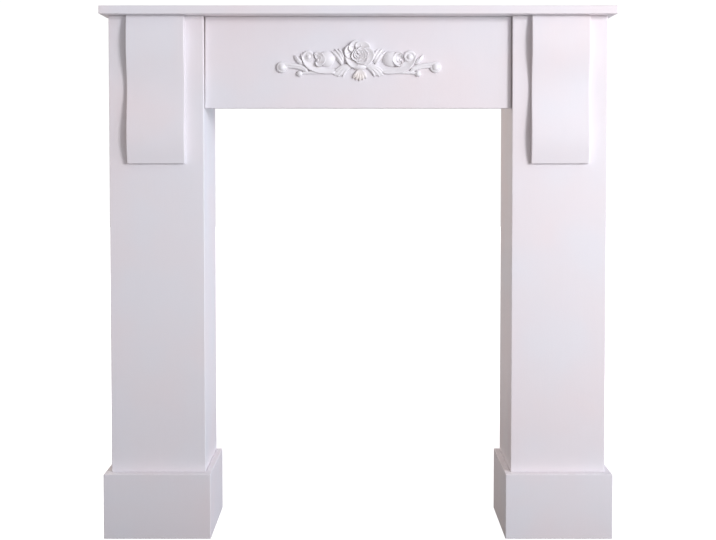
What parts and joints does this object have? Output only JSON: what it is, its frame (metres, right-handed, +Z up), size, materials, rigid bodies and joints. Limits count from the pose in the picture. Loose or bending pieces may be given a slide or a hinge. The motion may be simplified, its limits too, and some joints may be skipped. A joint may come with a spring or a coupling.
{
  "type": "fireplace mantelpiece",
  "caption": "Free-standing white fireplace surround: flat shelf on box pillars with plinths and wavy brackets, and a rose and scroll ornament on the header.",
  "frame": {"origin": "on the floor, in the middle of the object's bounding box", "axes": "+Z up, +X to the right of someone facing it, +Y towards the wall behind it, so the front faces -Y"},
  "size_m": [1, 0.21, 1.043],
  "materials": {
    "white_paint": "fibreboard in satin white paint",
    "cast_paint": "cast resin in satin white paint"
  },
  "bodies": {
    "root": {"mantel_shelf": "white_paint", "header_board": "white_paint", "rose_ornament": "cast_paint", "left_bracket": "white_paint", "right_bracket": "white_paint", "left_pillar_front": "white_paint", "left_pillar_outer_side": "white_paint", "left_pillar_inner_side": "white_paint", "right_pillar_front": "white_paint", "right_pillar_outer_side": "white_paint", "right_pillar_inner_side": "white_paint", "left_plinth_front": "white_paint", "left_plinth_outer_side": "white_paint", "left_plinth_inner_side": "white_paint", "right_plinth_front": "white_paint", "right_plinth_outer_side": "white_paint", "right_plinth_inner_side": "white_paint"}
  },
  "joints": []
}
